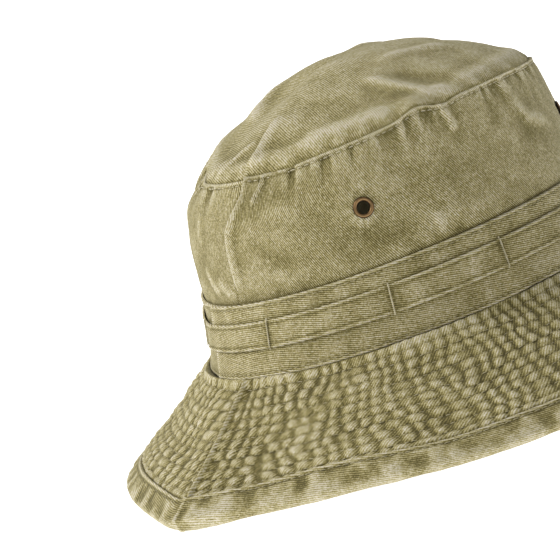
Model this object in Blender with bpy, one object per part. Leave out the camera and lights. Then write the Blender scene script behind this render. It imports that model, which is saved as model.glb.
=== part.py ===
"""A washed cotton bucket hat with a quilted brim, standing on its brim.

Frame: +X points to the wearer's front, +Y to the wearer's left, +Z up. The origin is the middle of the
hat's outline, on the plane that the brim's edge stands on. All sizes are in metres.

Each piece of cloth is a closed sheet: a piece of one of three surfaces (brim, crown side or crown tip)
with an outer and an inner face a stated distance off that surface. Neighbours keep a small gap.
"""

import math

import bmesh
import bpy
import numpy as np

# Crown: the oval at its foot (the head opening) and the oval of the seam round its tip.
HEAD_HALF_LENGTH = 0.1040
HEAD_HALF_WIDTH = 0.0820
TIP_HALF_LENGTH = 0.0830
TIP_HALF_WIDTH = 0.0720
CROWN_FOOT_HEIGHT = 0.0417
TIP_SEAM_HEIGHT = 0.1225
TIP_SEAM_DIP = 0.0030  # the tip seam is lower at front and back, higher at the sides
DOME_RISE = 0.0270
DOME_POWER = 2.2

# Brim: the oval where its layers end, inside the binding, with a corner at each seam.
BRIM_HALF_LENGTH = 0.1475
BRIM_HALF_WIDTH = 0.1365
BRIM_EDGE_HEIGHT = 0.0020
BACK_LIFT = 0.0028  # the edge turns up a little at the back
BACK_LIFT_REACH = 1.35  # radians from the back seam to where the lift has died away
BACK_CORNER = 0.0150
FRONT_CORNER = 0.0060
CORNER_SPREAD = 0.20  # radians over which a corner dies away
CORNER_ROUNDING = 0.05

# Cloth thicknesses, and the gap between neighbours.
GAP = 0.0003
CLOTH = 0.0008
BRIM_LAYER = 0.0007
BAND_CLOTH = 0.0010
STRIP_CLOTH = 0.0009
TAPE_CLOTH = 0.0006
BARTACK_THREAD = 0.0006
SWEATBAND_CLOTH = 0.0009
LABEL_CLOTH = 0.0004

# Band, loop strip, sweatband, tapes and label.
BAND_FOOT = 0.0013  # above the crown's foot
BAND_HEIGHT = 0.0303
BAND_LAP = 0.0260  # how far the band's ends pass each side of the back seam
STRIP_FOOT = 0.0113  # above the band's foot
STRIP_HEIGHT = 0.0113
BARTACK_HEIGHT = 0.0125
BARTACK_WIDTH = 0.0014
BARTACKS = 11  # evenly round the crown
FIRST_BARTACK = 0.0160  # how far round the crown, by the right, the first bar is from the back seam
WALL_FOOT = 0.0005  # where the crown's side and the sweatband start, above the crown's foot
SWEATBAND_HEIGHT = 0.0320
TAPE_END_GAP = 0.0015
TAPE_HALF_WIDTH = 0.0060
LABEL_LENGTH = 0.0260
LABEL_HEIGHT = 0.0160
LABEL_FOOT = 0.0110

# Binding: the bias tape round the brim's edge.
BINDING_WIDTH = 0.0110
BINDING_CLOTH = 0.0008
BINDING_NOSE = 0.0014  # cloth beyond the ends of the brim's layers
BINDING_FOOT_WIDTH = 0.0019

# Eyelets.
EYELET_HEIGHT = 0.0971
EYELET_ARC = 0.0610  # round the crown from the nearest seam
EYELET_HOLE_RADIUS = 0.0025
EYELET_BARREL_RADIUS = 0.0029
EYELET_FLANGE_RADIUS = 0.0043
EYELET_FLANGE_THICKNESS = 0.0010
EYELET_COLLAR_RADIUS = 0.0039
CLOTH_HOLE_RADIUS = 0.0032
WASHER_RADIUS = 0.0045
WASHER_THICKNESS = 0.0005

STEP = math.radians(5)  # between the straight facets that make up every oval
ROUND_SIDES = 16
BACK = math.pi
FRONT = 0.0
SHIFT = (BACK_CORNER - FRONT_CORNER) / 2  # centres the whole outline on the origin

FABRIC_COLOUR = (0.42, 0.37, 0.23)
COLOURS = {
    "crown": FABRIC_COLOUR,
    "band": (0.40, 0.35, 0.21),
    "strip": (0.43, 0.38, 0.24),
    "brim": (0.41, 0.36, 0.22),
    "brim_under": (0.39, 0.34, 0.21),
    "interlining": (0.72, 0.70, 0.64),
    "binding": (0.44, 0.39, 0.25),
    "tape": (0.36, 0.31, 0.19),
    "sweatband": (0.40, 0.36, 0.24),
    "thread": (0.52, 0.48, 0.34),
    "label": (0.78, 0.76, 0.70),
    "brass": (0.33, 0.20, 0.09),
}


def clear_scene():
    for old in list(bpy.data.objects):
        bpy.data.objects.remove(old, do_unlink=True)


def material(slot):
    """One material for each colour, shared by the pieces made of it."""
    found = bpy.data.materials.get(slot)
    if found:
        return found
    made = bpy.data.materials.new(slot)
    made.use_nodes = True
    shader = made.node_tree.nodes["Principled BSDF"]
    metal = slot == "brass"
    shader.inputs["Base Color"].default_value = (*COLOURS[slot], 1.0)
    shader.inputs["Metallic"].default_value = 1.0 if metal else 0.0
    shader.inputs["Roughness"].default_value = 0.4 if metal else 0.9
    return made


# ---- The three surfaces. Each takes a distance along itself, from 0 to 1, and an angle from +X.


def mix(first, last, share):
    return first + (last - first) * share


def corner(angle):
    """How far the seams push the brim's edge out: a rounded corner at the back and a slight one in front."""

    def bump(height, seam):
        away = math.remainder(angle - seam, 2 * math.pi)
        rounded = math.hypot(away, CORNER_ROUNDING) - CORNER_ROUNDING
        return height * math.exp(-rounded / CORNER_SPREAD)

    return bump(BACK_CORNER, BACK) + bump(FRONT_CORNER, FRONT)


def back_lift(angle):
    """How far the brim's edge is turned up."""
    away = min(abs(math.remainder(angle - BACK, 2 * math.pi)), BACK_LIFT_REACH)
    return BACK_LIFT * (1 + math.cos(math.pi * away / BACK_LIFT_REACH)) / 2


def oval(half_length, half_width, angle, height):
    x = SHIFT + half_length * math.cos(angle)
    return np.array([x, half_width * math.sin(angle), height])


def crown_side(share, angle):
    """From the crown's foot (0) up to the tip seam (1)."""
    half_length = mix(HEAD_HALF_LENGTH, TIP_HALF_LENGTH, share)
    half_width = mix(HEAD_HALF_WIDTH, TIP_HALF_WIDTH, share)
    height = mix(CROWN_FOOT_HEIGHT, TIP_SEAM_HEIGHT, share)
    return oval(half_length, half_width, angle, height - share * TIP_SEAM_DIP * math.cos(2 * angle))


def crown_tip(share, angle):
    """From the tip seam (0) to the top of the dome (1)."""
    out = 1 - share
    dip = TIP_SEAM_DIP * math.cos(2 * angle) * out**2
    height = TIP_SEAM_HEIGHT - dip + DOME_RISE * (1 - out**DOME_POWER)
    return oval(TIP_HALF_LENGTH * out, TIP_HALF_WIDTH * out, angle, height)


def brim(share, angle):
    """From the crown's foot (0) out and down to the brim's edge (1), through the middle of its layers."""
    extra = corner(angle)
    height = BRIM_EDGE_HEIGHT + back_lift(angle)
    edge = oval(BRIM_HALF_LENGTH + extra, BRIM_HALF_WIDTH + extra, angle, height)
    return mix(oval(HEAD_HALF_LENGTH, HEAD_HALF_WIDTH, angle, CROWN_FOOT_HEIGHT), edge, share)


def normal(surface, share, angle):
    """The surface's outward direction."""
    low = max(share - 0.01, 0.0)
    high = min(share + 0.01, 1.0)
    if surface is crown_tip:
        high = min(high, 0.99)
        low = min(low, 0.97)
    along = surface(high, angle) - surface(low, angle)
    round_ = surface(share, angle + 0.01) - surface(share, angle - 0.01)
    if np.linalg.norm(round_) < 1e-9:
        return np.array([0.0, 0.0, 1.0])
    across = np.cross(round_, along)
    if surface is brim:
        across = -across
    return across / np.linalg.norm(across)


def off(surface, share, angle, distance):
    """A point at a distance outside the surface."""
    return surface(share, angle) + normal(surface, share, angle) * distance


def side_share(height):
    """How far up the crown's side a height above its foot is."""
    return height / (TIP_SEAM_HEIGHT - CROWN_FOOT_HEIGHT)


# ---- Solids


def add_object(name, mesh, slot):
    mesh.materials.append(material(slot))
    piece = bpy.data.objects.new(name, mesh)
    bpy.context.scene.collection.objects.link(piece)
    return piece


def finish_mesh(name, shape):
    """A mesh from a bmesh, with doubled points merged, faces pointing out and smooth shading."""
    bmesh.ops.remove_doubles(shape, verts=shape.verts, dist=1e-6)
    bmesh.ops.recalc_face_normals(shape, faces=shape.faces)
    mesh = bpy.data.meshes.new(name)
    shape.to_mesh(mesh)
    shape.free()
    mesh.shade_smooth()
    mesh.set_sharp_from_angle(angle=math.radians(40))
    return mesh


def split_quad(shape, near, far, j, k, rising):
    """Two triangles between two sections. Rising says which way the shared edge runs."""
    if rising:
        shape.faces.new((near[j], near[k], far[k]))
        shape.faces.new((near[j], far[k], far[j]))
    else:
        shape.faces.new((near[j], near[k], far[j]))
        shape.faces.new((near[k], far[k], far[j]))


def loft(name, sections, slot, closed_run):
    """A solid through a run of equal closed sections. An open run is capped at both ends.

    A section's first half is a cloth's outer face and its second half comes back along the inner face.
    Both are split the same way, so that layers laid on each other stay parallel.
    """
    shape = bmesh.new()
    rings = [[shape.verts.new(point) for point in section] for section in sections]
    count = len(rings)
    size = len(rings[0])
    for i in range(count if closed_run else count - 1):
        for j in range(size):
            split_quad(shape, rings[i], rings[(i + 1) % count], j, (j + 1) % size, j < size // 2)
    if not closed_run:
        shape.faces.new(rings[0])
        shape.faces.new(list(reversed(rings[-1])))
    return add_object(name, finish_mesh(name, shape), slot)


def whole_turn():
    """Every 5 degrees, and twice as often beside the back seam, where the brim turns its corner."""
    beside = [BACK + side * (k + 0.5) * STEP for k in range(2) for side in (-1, 1)]
    return sorted([k * STEP for k in range(round(2 * math.pi / STEP))] + beside)


def angles_between(first, last):
    """The angles from first to last, on the common facets, with both ends exact."""
    turns = [a + turn * 2 * math.pi for turn in (-1, 0, 1) for a in whole_turn()]
    least = STEP / 6
    return [first] + [a for a in turns if first + least < a < last - least] + [last]


def sheet_section(surface, shares, angle, outer, inner):
    """A cloth's outline at one angle: along its outer face and back along its inner face."""
    out = [off(surface, share, angle, outer) for share in shares]
    back = [off(surface, share, angle, inner) for share in reversed(shares)]
    return out + back


def sheet(name, surface, shares, angles, outer, inner, slot, closed_run=False):
    sections = [sheet_section(surface, shares, angle, outer, inner) for angle in angles]
    return loft(name, sections, slot, closed_run)


def half_turn(half_width, side):
    """The angles of a half panel, from seam to seam, on the left (+1) or the right (-1)."""
    trim = GAP / 2 / half_width
    angles = angles_between(FRONT + trim, BACK - trim)
    return angles if side > 0 else [-angle for angle in reversed(angles)]


# ---- Crown


def make_crown_side(name, side):
    """Half of the crown's side, from seam to seam."""
    shares = [mix(side_share(WALL_FOOT), 1.0, k / 4) for k in range(5)]
    return sheet(name, crown_side, shares, half_turn(HEAD_HALF_LENGTH, side), 0.0, -CLOTH, "crown")


def make_crown_tip():
    """The dome. Its edge stands on the side panels' edge, so its first ring is level with that."""
    shares = [0.08, 0.2, 0.38, 0.6, 0.8, 1.0]
    shape = bmesh.new()
    outer, inner = [], []
    for angle in whole_turn():
        edge = crown_tip(0.0, angle) + np.array([0.0, 0.0, GAP])
        inward = normal(crown_side, 1.0, angle) * CLOTH
        outer.append([edge] + [off(crown_tip, share, angle, GAP) for share in shares])
        inner.append([edge - inward] + [off(crown_tip, share, angle, GAP - CLOTH) for share in shares])
    turns = len(outer)
    edges = []
    for face in (outer, inner):
        rings = [[shape.verts.new(point) for point in line] for line in face]
        for i in range(turns):
            here, there = rings[i], rings[(i + 1) % turns]
            for j in range(len(shares)):
                split_quad(shape, here, there, j, j + 1, True)
        edges.append([line[0] for line in rings])
    for i in range(turns):
        k = (i + 1) % turns
        shape.faces.new((edges[0][i], edges[1][i], edges[1][k], edges[0][k]))
    return add_object("crown_tip", finish_mesh("crown_tip", shape), "crown")


def make_tip_seam_tape():
    """Inside the crown, folded along the seam between side and tip."""
    outer = -CLOTH - 1.5 * GAP  # the fold needs a little more room than a flat tape
    inner = outer - TAPE_CLOTH
    low = 1 - side_share(TAPE_HALF_WIDTH)
    high = TAPE_HALF_WIDTH / TIP_HALF_WIDTH
    sections = []
    for angle in whole_turn():
        fold = normal(crown_side, 1.0, angle) + normal(crown_tip, 0.0, angle)
        fold /= np.linalg.norm(fold)
        stretch = 1 / float(fold @ normal(crown_side, 1.0, angle))
        seam = crown_side(1.0, angle)
        out = [off(crown_side, low, angle, outer), seam + fold * outer * stretch]
        back = [seam + fold * inner * stretch, off(crown_side, low, angle, inner)]
        tip = [off(crown_tip, high, angle, outer), off(crown_tip, high, angle, inner)]
        sections.append(out + tip + back)
    return loft("tip_seam_tape", sections, "tape", True)


def make_side_seam_tape(name, seam):
    """Inside the crown, upright over a side seam, between the sweatband and the tip's tape."""
    outer = -CLOTH - GAP
    low = side_share(WALL_FOOT + SWEATBAND_HEIGHT + TAPE_END_GAP)
    high = 1 - side_share(TAPE_HALF_WIDTH + TAPE_END_GAP)
    shares = [mix(low, high, k / 3) for k in range(4)]
    half = TAPE_HALF_WIDTH / HEAD_HALF_LENGTH
    angles = [seam - half, seam, seam + half]
    return sheet(name, crown_side, shares, angles, outer, outer - TAPE_CLOTH, "tape")


# ---- Band, loop strip and bartacks


def band_lift(angle, ramp):
    """How far the band's lap raises what lies on it, from 0 to 1, sloping off over the ramp."""
    away = abs(math.remainder(angle - BACK, 2 * math.pi)) - BAND_LAP / HEAD_HALF_LENGTH
    return min(max(1 - away / ramp, 0.0), 1.0)


def strip_round(name, slot, foot, height, thickness, angles, base):
    """A strip laid round the crown through the angles. Base gives its inner face's distance at each."""
    shares = [side_share(foot), side_share(foot + height)]
    sections = [
        sheet_section(crown_side, shares, angle, base(angle) + thickness, base(angle)) for angle in angles
    ]
    return loft(name, sections, slot, False)


def make_band():
    """It starts on the right of the back seam, goes round by the left and laps over its start."""
    reach = BAND_LAP / HEAD_HALF_LENGTH
    lap_ramp = 4 * STEP
    over_from = BACK + reach + lap_ramp - 2 * math.pi
    angles = list(reversed(angles_between(BACK - reach - 2 * math.pi, BACK + reach)))

    def base(angle):
        lift = band_lift(angle, lap_ramp) if angle <= over_from else 0.0
        return GAP + lift * (BAND_CLOTH + GAP)

    strip_round("hat_band", "band", BAND_FOOT, BAND_HEIGHT, BAND_CLOTH, angles, base)


def strip_base(angle):
    """The loop strip's inner face, just off the band."""
    return 2 * GAP + BAND_CLOTH + band_lift(angle, 4 * STEP) * (BAND_CLOTH + GAP)


def angle_at_arc(arc, share):
    """The angle that lies an arc's length round the crown from the front seam."""
    steps = 720
    gone = 0.0
    before = crown_side(share, 0.0)
    for k in range(1, steps + 1):
        angle = k * math.pi / steps
        here = crown_side(share, angle)
        gone += float(np.linalg.norm((here - before)[:2]))
        if gone >= arc:
            return angle
        before = here
    return math.pi


def half_round(share):
    """The length from the front seam to the back one."""
    points = [crown_side(share, k * BACK / 720) for k in range(721)]
    return sum(float(np.linalg.norm((b - a)[:2])) for a, b in zip(points, points[1:]))


def bartack_angles():
    """Evenly round the crown, by the right, from the first bar beside the back seam."""
    share = side_share(BAND_FOOT + STRIP_FOOT + STRIP_HEIGHT / 2)
    half = half_round(share)
    found = []
    for k in range(BARTACKS):
        arc = FIRST_BARTACK + 2 * half * k / BARTACKS
        if arc < half:
            found.append(BACK + (BACK - angle_at_arc(half - arc, share)))
        else:
            found.append(2 * BACK + angle_at_arc(arc - half, share))
    return found


def make_bartack(name, angle):
    """A narrow bar of thread across the loop strip."""
    half_height = BARTACK_HEIGHT / 2
    middle = BAND_FOOT + STRIP_FOOT + STRIP_HEIGHT / 2
    shares = [side_share(middle - half_height), side_share(middle + half_height)]
    half = BARTACK_WIDTH / 2 / HEAD_HALF_LENGTH
    base = strip_base(angle) + STRIP_CLOTH + GAP
    ends = [angle - half, angle + half]
    return sheet(name, crown_side, shares, ends, base + BARTACK_THREAD, base, "thread")


def make_loop_strip():
    """Its two ends meet under the last bar, on the left of the back seam."""
    bars = bartack_angles()
    for number, angle in enumerate(bars, start=1):
        make_bartack(f"bartack_{number:02d}", angle)
    trim = GAP / 2 / HEAD_HALF_LENGTH
    meeting = bars[-1]
    angles = angles_between(meeting - 2 * math.pi + trim, meeting - trim)
    foot = BAND_FOOT + STRIP_FOOT
    strip_round("loop_strip", "strip", foot, STRIP_HEIGHT, STRIP_CLOTH, angles, strip_base)


# ---- Brim


def make_brim_layer(name, middle, side):
    """Half of the brim's upper or lower cloth, from seam to seam."""
    shares = [0.0, 0.5, 1.0]
    half = BRIM_LAYER / 2
    slot = "brim" if middle > 0 else "brim_under"
    return sheet(name, brim, shares, half_turn(HEAD_HALF_LENGTH, side), middle + half, middle - half, slot)


def make_interlining():
    """The stiff layer in the middle of the brim."""
    half = BRIM_LAYER / 2
    shares = [0.0, 0.5, 1.0]
    return sheet("brim_interlining", brim, shares, whole_turn(), half, -half, "interlining", True)


def binding_section(angle):
    """The folded tape's outline: a U round the brim's edge, with a level foot at the bottom of its fold."""
    edge, start = brim(1.0, angle), brim(0.0, angle)
    down = (edge - start) / np.linalg.norm(edge - start)
    up = normal(brim, 1.0, angle)
    inside = 1.5 * BRIM_LAYER + 2 * GAP
    outside = inside + BINDING_CLOTH
    nose = GAP + BINDING_NOSE

    def at(along, across):
        return edge + down * along + up * across

    # Where the underside meets the foot's level, and the foot's other side.
    foot = back_lift(angle)
    heel_along = (edge[2] - foot - outside * up[2]) / -down[2]
    heel = at(heel_along, -outside)
    level = np.array([down[0], down[1], 0.0])
    level /= np.linalg.norm(level)
    heel[2] = foot
    toe = heel + level * BINDING_FOOT_WIDTH
    return [
        at(-BINDING_WIDTH, outside),
        at(-0.3 * nose, outside),
        at(0.6 * nose, 0.75 * outside),
        at(nose, 0.2 * outside),
        at(nose, -0.25 * outside),
        toe,
        heel,
        at(-BINDING_WIDTH, -outside),
        at(-BINDING_WIDTH, -inside),
        at(GAP, -inside),
        at(GAP, inside),
        at(-BINDING_WIDTH, inside),
    ]


def make_binding():
    return loft("brim_binding", [binding_section(a) for a in whole_turn()], "binding", True)


def make_brim():
    spacing = BRIM_LAYER + GAP
    for side, hand in ((1, "left"), (-1, "right")):
        make_brim_layer(f"brim_top_{hand}", spacing, side)
        make_brim_layer(f"brim_under_{hand}", -spacing, side)
    make_interlining()
    make_binding()


# ---- Inside


def make_sweatband():
    """Inside the head opening."""
    outer = -CLOTH - GAP
    shares = [side_share(WALL_FOOT), side_share(WALL_FOOT + SWEATBAND_HEIGHT)]
    inner = outer - SWEATBAND_CLOTH
    return sheet("sweatband", crown_side, shares, whole_turn(), outer, inner, "sweatband", True)


def make_label():
    """A blank tab on the sweatband at the back."""
    outer = -CLOTH - SWEATBAND_CLOTH - 2 * GAP
    low = side_share(LABEL_FOOT)
    high = side_share(LABEL_FOOT + LABEL_HEIGHT)
    half = LABEL_LENGTH / 2 / HEAD_HALF_LENGTH
    angles = angles_between(BACK - half, BACK + half)
    return sheet("size_label", crown_side, [low, high], angles, outer, outer - LABEL_CLOTH, "label")


# ---- Eyelets


def turned(name, profile, place, axis, slot):
    """A ring turned round an axis through a place, from a closed outline of (radius, height) points."""
    turn = axis_matrix(axis)
    sections = []
    for k in range(ROUND_SIDES):
        angle = 2 * math.pi * k / ROUND_SIDES
        spoke = turn @ np.array([math.cos(angle), math.sin(angle), 0.0])
        sections.append([place + spoke * radius + axis * height for radius, height in profile])
    return loft(name, sections, slot, True)


def axis_matrix(axis):
    """A turn that takes +Z to the axis."""
    across = np.cross([0.0, 0.0, 1.0], axis)
    across /= np.linalg.norm(across)
    return np.column_stack([across, np.cross(axis, across), axis])


def eyelet_profile():
    """Flange outside, barrel through the cloth and washer, collar rolled over inside."""
    sink = CLOTH + WASHER_THICKNESS + 3 * GAP
    top = GAP + EYELET_FLANGE_THICKNESS
    return [
        (EYELET_HOLE_RADIUS, -sink - WASHER_THICKNESS),
        (EYELET_HOLE_RADIUS, top - 0.0004),
        (EYELET_HOLE_RADIUS + 0.0003, top),
        (EYELET_FLANGE_RADIUS - 0.0007, top),
        (EYELET_FLANGE_RADIUS, GAP + 0.0003),
        (EYELET_FLANGE_RADIUS, GAP),
        (EYELET_BARREL_RADIUS, GAP),
        (EYELET_BARREL_RADIUS, -sink),
        (EYELET_COLLAR_RADIUS, -sink),
        (EYELET_COLLAR_RADIUS - 0.0002, -sink - WASHER_THICKNESS),
    ]


def washer_profile():
    top = -CLOTH - GAP
    inner = EYELET_BARREL_RADIUS + GAP
    low = top - WASHER_THICKNESS
    return [(inner, low), (inner, top), (WASHER_RADIUS, top), (WASHER_RADIUS, low)]


def cut_hole(panel, place, axis):
    """A round hole through a panel, left as a modifier with its own hidden cutter."""
    shape = bmesh.new()
    bmesh.ops.create_cone(
        shape,
        cap_ends=True,
        segments=ROUND_SIDES,
        radius1=CLOTH_HOLE_RADIUS,
        radius2=CLOTH_HOLE_RADIUS,
        depth=10 * CLOTH,
    )
    turn = axis_matrix(axis)
    for vert in shape.verts:
        vert.co = place + turn @ np.array(vert.co)
    mesh = bpy.data.meshes.new("hole_cutter")
    shape.to_mesh(mesh)
    shape.free()
    cutter = bpy.data.objects.new("hole_cutter", mesh)
    bpy.context.scene.collection.objects.link(cutter)
    cutter.hide_render = True
    cutter.display_type = "WIRE"
    cut = panel.modifiers.new("eyelet_hole", "BOOLEAN")
    cut.operation = "DIFFERENCE"
    cut.object = cutter


def make_eyelets(panels):
    """Four eyelets, two beside each seam."""
    share = side_share(EYELET_HEIGHT - CROWN_FOOT_HEIGHT)
    front = angle_at_arc(EYELET_ARC, share)
    rear = angle_at_arc(half_round(share) - EYELET_ARC, share)
    for number, angle in enumerate((rear, front, -front, -rear), start=1):
        place = crown_side(share, angle)
        axis = normal(crown_side, share, angle)
        cut_hole(panels[angle > 0], place, axis)
        turned(f"eyelet_{number}", eyelet_profile(), place, axis, "brass")
        turned(f"eyelet_washer_{number}", washer_profile(), place, axis, "brass")


def main():
    clear_scene()
    left = make_crown_side("crown_side_left", 1)
    right = make_crown_side("crown_side_right", -1)
    make_crown_tip()
    make_tip_seam_tape()
    make_side_seam_tape("side_seam_tape_front", FRONT)
    make_side_seam_tape("side_seam_tape_back", BACK)
    make_band()
    make_loop_strip()
    make_brim()
    make_sweatband()
    make_label()
    make_eyelets({True: left, False: right})


main()
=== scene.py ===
"""A washed twill bucket hat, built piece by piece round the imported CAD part.

Frame: +X front, +Y the wearer's left, +Z up, in metres. The back seam is at an angle of pi.
"""

import math

import bpy
import numpy as np
from mathutils import Matrix, Vector


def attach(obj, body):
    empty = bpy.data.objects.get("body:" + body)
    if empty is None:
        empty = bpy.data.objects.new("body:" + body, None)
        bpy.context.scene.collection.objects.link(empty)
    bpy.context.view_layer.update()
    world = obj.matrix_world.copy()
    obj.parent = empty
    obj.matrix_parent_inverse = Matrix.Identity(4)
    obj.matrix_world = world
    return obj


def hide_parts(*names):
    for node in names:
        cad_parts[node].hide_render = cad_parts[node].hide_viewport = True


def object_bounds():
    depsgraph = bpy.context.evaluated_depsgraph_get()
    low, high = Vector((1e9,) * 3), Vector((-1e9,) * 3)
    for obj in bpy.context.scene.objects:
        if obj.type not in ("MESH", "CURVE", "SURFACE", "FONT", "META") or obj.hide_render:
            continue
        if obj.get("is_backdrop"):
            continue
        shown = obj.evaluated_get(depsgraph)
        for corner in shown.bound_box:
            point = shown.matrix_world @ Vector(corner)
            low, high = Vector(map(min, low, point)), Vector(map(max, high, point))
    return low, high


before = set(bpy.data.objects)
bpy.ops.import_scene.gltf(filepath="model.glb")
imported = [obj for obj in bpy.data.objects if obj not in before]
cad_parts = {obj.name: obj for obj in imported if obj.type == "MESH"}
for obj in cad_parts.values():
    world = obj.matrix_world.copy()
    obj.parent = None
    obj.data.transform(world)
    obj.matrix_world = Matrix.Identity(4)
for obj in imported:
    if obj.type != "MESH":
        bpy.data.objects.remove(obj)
cad_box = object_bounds()

# ---- The hat's dimensions, the same as the CAD part's.

HEAD_LENGTH, HEAD_WIDTH = 0.1040, 0.0820  # half axes of the crown's foot
TIP_LENGTH, TIP_WIDTH = 0.0830, 0.0720
FOOT_HEIGHT, SEAM_HEIGHT = 0.0417, 0.1225
SEAM_DIP = 0.0030
DOME_RISE, DOME_POWER = 0.0270, 2.2
BRIM_LENGTH, BRIM_WIDTH, BRIM_EDGE_HEIGHT = 0.1475, 0.1365, 0.0020
BACK_CORNER, FRONT_CORNER, CORNER_SPREAD, CORNER_ROUNDING = 0.0150, 0.0060, 0.20, 0.05
BACK_LIFT, BACK_LIFT_REACH = 0.0028, 1.35
GAP, CLOTH = 0.0003, 0.0008
BAND_CLOTH, STRIP_CLOTH = 0.0010, 0.0009
BAND_FOOT, BAND_HEIGHT, BAND_LAP = 0.0013, 0.0303, 0.0260
STRIP_FOOT, STRIP_HEIGHT = 0.0113, 0.0113
TACK_HEIGHT, TACK_WIDTH, TACKS, FIRST_TACK = 0.0125, 0.0014, 11, 0.0160
BINDING_WIDTH, BINDING_CLOTH, BINDING_NOSE = 0.0110, 0.0008, 0.0017
EYELET_HEIGHT, EYELET_ARC, EYELET_HOLE, EYELET_FLANGE = 0.0971, 0.0610, 0.0025, 0.0043

BACK, FRONT = math.pi, 0.0
BAND_TOP = BAND_FOOT + BAND_HEIGHT
STRIP_LOW = BAND_FOOT + STRIP_FOOT
STRIP_TOP = STRIP_LOW + STRIP_HEIGHT
STRIP_MIDDLE = (STRIP_LOW + STRIP_TOP) / 2
SHIFT = (BACK_CORNER - FRONT_CORNER) / 2
PANEL = SEAM_HEIGHT - FOOT_HEIGHT
SIDE_SLOPE, TIP_SLOPE, BRIM_SLOPE = 0.0838, 0.0775, 0.0700  # lengths up the side, over the tip, down the brim
CROWN_RADIUS, BRIM_RADIUS = 0.093, 0.118  # mean radii, for lengths measured round the hat
EYELET_RADIUS, TAPE_RADIUS, TAPE_END_RADIUS = 0.0905, 0.145, 0.150  # the same at the eyelets and the binding
BRIM_AT_SEAM = 0.160  # how far out the brim's edge lies at a seam
LAYER_FACE, LAYER_BACK = 0.00090, 0.00042  # from the middle of the brim to a layer's outer and inner face
TRIM = GAP / 2 / HEAD_LENGTH  # half the gap between two panels at a seam, in radians
LAP = BAND_LAP / HEAD_LENGTH  # from the back seam to each end of the band, in radians
LAP_RAMP = math.radians(20)  # over which the band's upper end climbs onto the lower one
TAPE_WIDTH = 0.0300  # of the binding's tape, from edge to edge round the fold
ROWS = 12  # rows of quilting between the crown and the binding
PUCKERS = 112  # puckers round the brim
BINDING_START = 0.845  # where the binding's inner edge lies across the brim

KHAKI_LIGHT = (0.610, 0.565, 0.475)
KHAKI_PALE = (0.432, 0.384, 0.222)
KHAKI = (0.308, 0.264, 0.106)
KHAKI_DARK = (0.155, 0.126, 0.032)


# ---- Smooth numbers


def smooth(x):
    """0 below 0, 1 above 1 and an S in between."""
    x = np.clip(x, 0.0, 1.0)
    return x * x * (3 - 2 * x)


def hump(x, width):
    return np.exp(-((x / width) ** 2))


def fading(x, start, reach):
    """1 up to a start, and dying away past it."""
    return np.exp(-np.maximum(x - start, 0) / reach)


def rounded(x, width):
    """The height of a quarter round of a given width: 0 at its foot and 1 past it."""
    return np.sqrt(np.clip(1 - (1 - np.clip(x / width, 0, 1)) ** 2, 0, 1))


def grid(shares, angles):
    """Shares that change from row to row, and angles from column to column."""
    return np.meshgrid(shares, angles, indexing="ij")


def spaced(first, *runs):
    """Numbers from a first one on, evenly through runs of (last number, count with both ends)."""
    parts = [[first]]
    for last, count in runs:
        parts.append(np.linspace(first, last, count)[1:])
        first = last
    return np.concatenate(parts)


def turn(angle, seam=BACK):
    """Radians from a seam, positive towards the wearer's right."""
    return np.remainder(angle - seam + math.pi, 2 * math.pi) - math.pi


def degrees(angle):
    """Degrees from the back seam, positive towards the wearer's right."""
    return np.degrees(turn(angle))


def noise(x, y, seed, period):
    """Smooth values from -1 to 1, with one drawn value at each whole x and y. X repeats after the period."""
    drawn = np.random.default_rng(seed).uniform(-1, 1, (period, 127))
    i, j = np.floor(x).astype(int), np.floor(y).astype(int)
    u, v = smooth(x - i), smooth(y - j)

    def at(di, dj):
        return drawn[(i + di) % period, (j + dj) % 127]

    return (at(0, 0) * (1 - u) + at(1, 0) * u) * (1 - v) + (at(0, 1) * (1 - u) + at(1, 1) * u) * v


def ring_noise(angle, along, cell, seed, radius=CROWN_RADIUS, tall=1.0):
    """Noise over a surface that goes round the hat, in cells of a given width."""
    period = max(round(2 * math.pi * radius / cell), 3)
    return noise(angle / (2 * math.pi) * period, along / (cell * tall) + 40, seed, period)


def flat_noise(x, y, cell, seed):
    """Noise over a plan, in cells that aren't lined up with its axes."""
    u, v = 0.8 * x - 0.6 * y, 0.6 * x + 0.8 * y
    return noise(u / cell + 50, v / cell + 50, seed, 127)


def fold(u, v, path, width, height, lean=0.0, fade=0.25):
    """A crease along a path in the cloth's coordinates: a crest with soft flanks, dying out at its ends.

    Lean makes the flank on the path's left wider and the one on its right steeper.
    """
    best = np.full(np.shape(u), 1e9)
    reach = np.zeros(np.shape(u))
    flank = np.zeros(np.shape(u))
    done = 0.0
    for (u0, v0), (u1, v1) in zip(path, path[1:]):
        du, dv = u1 - u0, v1 - v0
        length = math.hypot(du, dv)
        t = np.clip(((u - u0) * du + (v - v0) * dv) / length**2, 0, 1)
        away = np.hypot(u - u0 - t * du, v - v0 - t * dv)
        side = np.sign(du * (v - v0) - dv * (u - u0))
        closer = away < best
        best = np.where(closer, away, best)
        reach = np.where(closer, done + t * length, reach)
        flank = np.where(closer, side, flank)
        done += length
    ends = smooth(reach / (fade * done)) * smooth((done - reach) / (fade * done))
    spread = width * (1 + lean * flank)
    return height * ends * np.exp(-((best / spread) ** 1.6))


# ---- The worn hat's surfaces. Each takes a share of the way along itself and an angle.


def mix(first, last, share):
    return first + (last - first) * share


def corner(angle):
    def push(size, seam):
        away = np.hypot(turn(angle, seam), CORNER_ROUNDING) - CORNER_ROUNDING
        return size * np.exp(-away / CORNER_SPREAD)

    return push(BACK_CORNER, BACK) + push(FRONT_CORNER, FRONT)


def oval(length, width, angle, height):
    return np.stack(np.broadcast_arrays(SHIFT + length * np.cos(angle), width * np.sin(angle), height), -1)


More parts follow.
